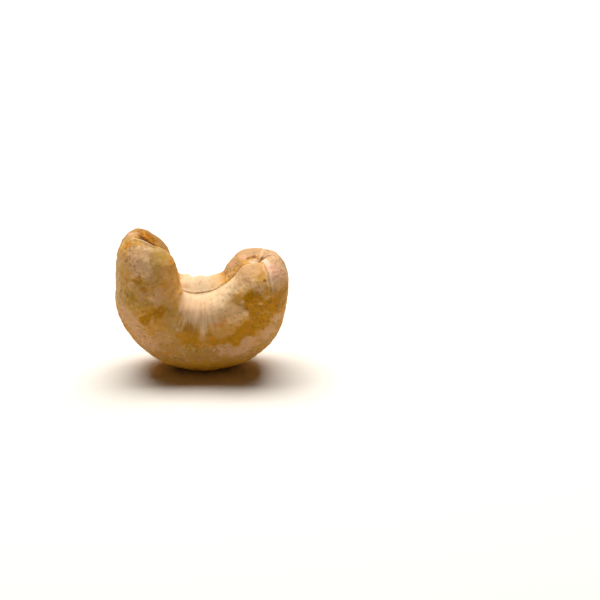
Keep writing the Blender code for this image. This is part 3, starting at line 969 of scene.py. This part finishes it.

        # Painted shade: darker below the first height.
        self.low = ramp(LOW_TOP - skin.z + 1.5 * broad, 1.2)
        # Painted light: bright gold at the very foot.
        self.base = ramp(BASE_TOP - skin.z + 1.2 * ragged, 0.6)
        upper_left = ramp(-skin.x - UPPER_LEFT[0], 1.0) * ramp(skin.z - UPPER_LEFT[1], 1.0)
        seen_gold = self.cover(self.on_face(GOLD_PATCHES)) * (1 - UPPER_LEFT_THINNING * upper_left)
        hidden_gold = HIDDEN_GOLD * ramp(broad - 0.12 + 0.3 * ragged, 0.3) * unseen * below
        self.gold = np.maximum(seen_gold, hidden_gold)
        hidden_olive = ramp(-broad - 0.15, 0.12) * unseen * below
        self.olive = np.clip(self.on_face(OLIVE_PATCHES) + hidden_olive, 0, 1)
        hidden_blush = ramp(other - 0.15, 0.12) * unseen
        self.blush = self.cover(self.on_face(BLUSH_PATCHES) + hidden_blush)
        # The pale patches paint highlight on the near face.
        pale_start, pale_reach = PALE_EDGE
        pale = np.clip((self.on_face(PAINTED_HIGHLIGHT_PATCHES) - pale_start + 0.3 * ragged) / pale_reach, 0, 1)
        self.pale = pale * pale * (3 - 2 * pale)
        # Greyish pale patches: partly the skin's own tan and partly painted light.
        self.grey_lit = np.clip(self.on_face(GREY_LIT_PATCHES), 0, 1)
        hidden_orange = ramp(broad * other - 0.12, 0.04) * unseen * ramp(HIDDEN_ORANGE_TOP - skin.z, 1.0)
        self.orange = self.cover(self.on_face(ORANGE_PATCHES) + self.spots(ORANGE_SPOTS) + hidden_orange)

        rough = smooth_noise(skin.points / ROUGH_SIZE, 83.0) + 0.5 * self.spots(BEIGE_SPOTS)
        self.rough = ramp(rough - 0.02, 0.12) * self.face * (1 - 0.5 * self.gold)
        # Above a ragged line by the cleft the near face is painted darker: painted shade.
        band_height, band_slope, band_x = LIP_FACE
        above_band = skin.z - band_height + band_slope * (skin.x + band_x) + 0.4 * ragged
        self.shaded_lip_face = ramp(-skin.y - 0.2, 0.2) * ramp(above_band, 0.6) * (skin.x < 0)
        behind_lip = ramp(skin.y - LIP_Y - 0.3, 0.2)
        self.tan = np.clip(1.3 * self.spots(TAN_SPOTS) + 0.6 * ragged - 0.15, 0, 1) * behind_lip
        self.beige = np.clip(self.spots(BEIGE_SPOTS), 0, 1)
        self.grey = np.clip(self.spots(GREY_SPOTS), 0, 1)
        self.brown = self.cover(self.spots(BROWN_SPOTS))
        self.peach = self.cover(self.spots(PEACH_SPOTS))


def press_on_table(points):
    """The flat spot that the kernel stands on."""
    points[..., 2] = np.maximum(points[..., 2], 0)


def with_tips(field):
    """A field's values in the order of the mesh's vertices: the rings, the left tip and the right tip."""
    return np.concatenate([field[1:-1].ravel(), [field[0].mean(), field[-1].mean()]])


def kernel_mesh(skin, marks):
    """One closed skin: bands between the rings, and a fan of triangles at each tip."""
    vertices = np.stack([with_tips(skin.points[..., k]) for k in range(3)], 1) * MM
    rings = RINGS - 2
    start = (np.arange(rings - 1) * COLUMNS)[:, None]
    j = np.arange(COLUMNS)[None, :]
    k = (j + 1) % COLUMNS
    bands = np.stack([start + j, start + k, start + COLUMNS + k, start + COLUMNS + j], 2).reshape(-1, 4)
    last = (rings - 1) * COLUMNS
    left_tip, right_tip = rings * COLUMNS, rings * COLUMNS + 1
    fans = [(left_tip, b, a) for a, b in zip(j[0], k[0])]
    fans += [(right_tip, last + a, last + b) for a, b in zip(j[0], k[0])]
    mesh = bpy.data.meshes.new("cashew_skin")
    fans = [tuple(int(v) for v in face) for face in fans]
    mesh.from_pydata(vertices.tolist(), [], bands.tolist() + fans)
    mesh.validate()
    mesh.shade_smooth()
    for name in MARKS:
        attribute = mesh.attributes.new(name, "FLOAT", "POINT")
        attribute.data.foreach_set("value", with_tips(getattr(marks, name)).astype(np.float32))
    return mesh


def add_node(tree, kind, inputs=None, **settings):
    """Adds a node, with its own settings, and with sockets each set to a value or linked to an output."""
    new = tree.nodes.new(kind)
    for name, value in settings.items():
        setattr(new, name, value)
    for socket, value in (inputs or {}).items():
        if isinstance(value, bpy.types.NodeSocket):
            tree.links.new(value, new.inputs[socket])
        else:
            new.inputs[socket].default_value = value
    return new


def mottle(tree, place, size, detail, start, full, shift):
    """A grainy cover from noise of a real size in millimetres."""
    moved = add_node(tree, "ShaderNodeVectorMath", {0: place, 1: (shift, shift, shift)}, operation="ADD")
    grains = {"Vector": moved.outputs[0], "Scale": 1 / (size * MM), "Detail": detail}
    cloud = add_node(tree, "ShaderNodeTexNoise", {**grains, "Roughness": MOTTLE_ROUGHNESS})
    stretch = {"Value": cloud.outputs["Fac"], "From Min": start, "From Max": full}
    return add_node(tree, "ShaderNodeMapRange", stretch).outputs["Result"]


def roasted_skin():
    """A dry-roasted seed's skin: matt, a little waxy, cream in the hollow and golden where it browned."""
    material = bpy.data.materials.new("roasted_seed_skin")
    material.use_nodes = True
    tree = material.node_tree
    shader = tree.nodes["Principled BSDF"]
    place = add_node(tree, "ShaderNodeTexCoord").outputs["Object"]
    marks = {}
    for name in MARKS:
        marks[name] = add_node(tree, "ShaderNodeAttribute", attribute_name=name).outputs["Fac"]

    darker, paler = (linear(tint) for tint in SKIN_GROUND)
    ground = {MIX_COVER: mottle(tree, place, *GROUND_MOTTLE), MIX_UNDER: darker, MIX_OVER: paler}
    colour = add_node(tree, "ShaderNodeMix", ground, data_type="RGBA").outputs[MIX_RESULT]
    for mark, grains, strength, tint in SKIN_TINTS:
        covers = [marks[mark]] if mark else []
        if grains:
            covers.append(mottle(tree, place, *grains))
        cover = strength
        for part in covers:
            cover = add_node(tree, "ShaderNodeMath", {0: part, 1: cover}, operation="MULTIPLY").outputs[0]
        layer = {MIX_COVER: cover, MIX_UNDER: colour, MIX_OVER: linear(tint)}
        colour = add_node(tree, "ShaderNodeMix", layer, data_type="RGBA").outputs[MIX_RESULT]

    # Fine grit makes the skin matt and flecks it a little darker and paler.
    fine = {"Vector": place, "Scale": 1 / (GRIT_SIZE * MM), "Detail": GRIT_DETAIL}
    grit = add_node(tree, "ShaderNodeTexNoise", fine).outputs["Fac"]
    from_grit = {"Value": grit, "From Min": GRIT_RANGE[0], "From Max": GRIT_RANGE[1]}
    to_shade = {"To Min": GRIT_DARKEST, "To Max": GRIT_PALEST}
    shade = add_node(tree, "ShaderNodeMapRange", {**from_grit, **to_shade}).outputs["Result"]
    flecked = add_node(tree, "ShaderNodeVectorMath", {0: colour, "Scale": shade}, operation="SCALE")
    tree.links.new(flecked.outputs[0], shader.inputs["Base Color"])
    bumped = add_node(tree, "ShaderNodeBump", {"Height": grit, "Strength": 1.0, "Distance": GRIT_HEIGHT * MM})
    tree.links.new(bumped.outputs["Normal"], shader.inputs["Normal"])

    # Where the skin turned golden, its own oil makes it a little smoother.
    from_gold = {"Value": marks["gold"], "To Min": SKIN_ROUGHNESS, "To Max": GOLD_ROUGHNESS}
    roughness = add_node(tree, "ShaderNodeMapRange", from_gold)
    tree.links.new(roughness.outputs["Result"], shader.inputs["Roughness"])
    shader.inputs["IOR"].default_value = SKIN_IOR
    shader.inputs["Specular IOR Level"].default_value = SKIN_SPECULAR
    shader.inputs["Subsurface Weight"].default_value = SOAK_WEIGHT
    shader.inputs["Subsurface Radius"].default_value = SOAK_RADIUS
    shader.inputs["Subsurface Scale"].default_value = SOAK_SCALE * MM
    return material


def cashew_kernel():
    """The kernel's skin in place of the solid from CAD."""
    skin = Skin()
    shapes = (seam, rims, shoulders, cleft, pit, sunken_tip, wrinkles, lumps)
    skin.raise_by(sum(shape(skin) for shape in shapes))
    marks = Marks(skin)
    skin.raise_by(marks.relief)
    press_on_table(skin.points)
    mesh = kernel_mesh(skin, marks)
    mesh.materials.append(roasted_skin())
    kernel = bpy.data.objects.new("cashew_skin", mesh)
    bpy.context.scene.collection.objects.link(kernel)
    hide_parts("cashew_kernel")
    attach(kernel, "root")


def white_sweep():
    """A sheet of uncoated white paper: matt, so that it bounces soft light and takes a soft shadow."""
    half = SWEEP_HALF_WIDTH
    mesh = bpy.data.meshes.new("sweep")
    corners = [(-half, -half, 0), (half, -half, 0), (half, half, 0), (-half, half, 0)]
    mesh.from_pydata(corners, [], [(0, 1, 2, 3)])
    paper = bpy.data.materials.new("matt_white_paper")
    paper.use_nodes = True
    shader = paper.node_tree.nodes["Principled BSDF"]
    shader.inputs["Base Color"].default_value = linear(PAPER_TINT)
    shader.inputs["Roughness"].default_value = PAPER_ROUGHNESS
    mesh.materials.append(paper)
    sweep = bpy.data.objects.new("sweep", mesh)
    bpy.context.scene.collection.objects.link(sweep)


def softbox(name, size, power, place, aim):
    """A rectangular area lamp at a place, turned to an aim."""
    lamp = bpy.data.lights.new(name, "AREA")
    lamp.shape = "RECTANGLE"
    lamp.size, lamp.size_y = size
    lamp.energy = power
    holder = bpy.data.objects.new(name, lamp)
    holder.location = place
    holder.rotation_euler = (Vector(aim) - Vector(place)).to_track_quat("-Z", "Y").to_euler()
    bpy.context.scene.collection.objects.link(holder)


def studio_light():
    """One softbox above and behind the kernel, and a trace of light from the room."""
    softbox("overhead_softbox", SOFTBOX_SIZE, SOFTBOX_POWER, SOFTBOX_PLACE, (0, 0, 0))
    world = bpy.data.worlds.new("studio")
    world.use_nodes = True
    background = world.node_tree.nodes["Background"]
    background.inputs["Color"].default_value = linear("#ffffff")
    background.inputs["Strength"].default_value = ROOM_LIGHT
    bpy.context.scene.world = world
    bpy.context.scene.view_settings.view_transform = "Standard"


def photo_camera():
    """A camera 25 degrees above the table, with the kernel where the photograph has it."""
    look = Vector((0, math.cos(CAMERA_ELEVATION), -math.sin(CAMERA_ELEVATION)))
    right = Vector((1, 0, 0))
    up = right.cross(look)
    distance = LENS / SENSOR * PHOTO_PIXELS * MM_PER_PIXEL
    to_right = (PHOTO_PIXELS / 2 - ORIGIN_PIXEL[0]) * MM_PER_PIXEL
    to_top = (ORIGIN_PIXEL[1] - PHOTO_PIXELS / 2) * MM_PER_PIXEL
    place = right * to_right + up * to_top - look * distance
    lens = bpy.data.cameras.new("camera")
    lens.lens = LENS
    lens.sensor_width = SENSOR
    lens.clip_start = CLIP_START
    camera = bpy.data.objects.new("camera", lens)
    camera.location = place * MM
    camera.rotation_euler = look.to_track_quat("-Z", "Y").to_euler()
    bpy.context.scene.collection.objects.link(camera)
    bpy.context.scene.camera = camera


photo_camera()
studio_light()
white_sweep()
cashew_kernel()
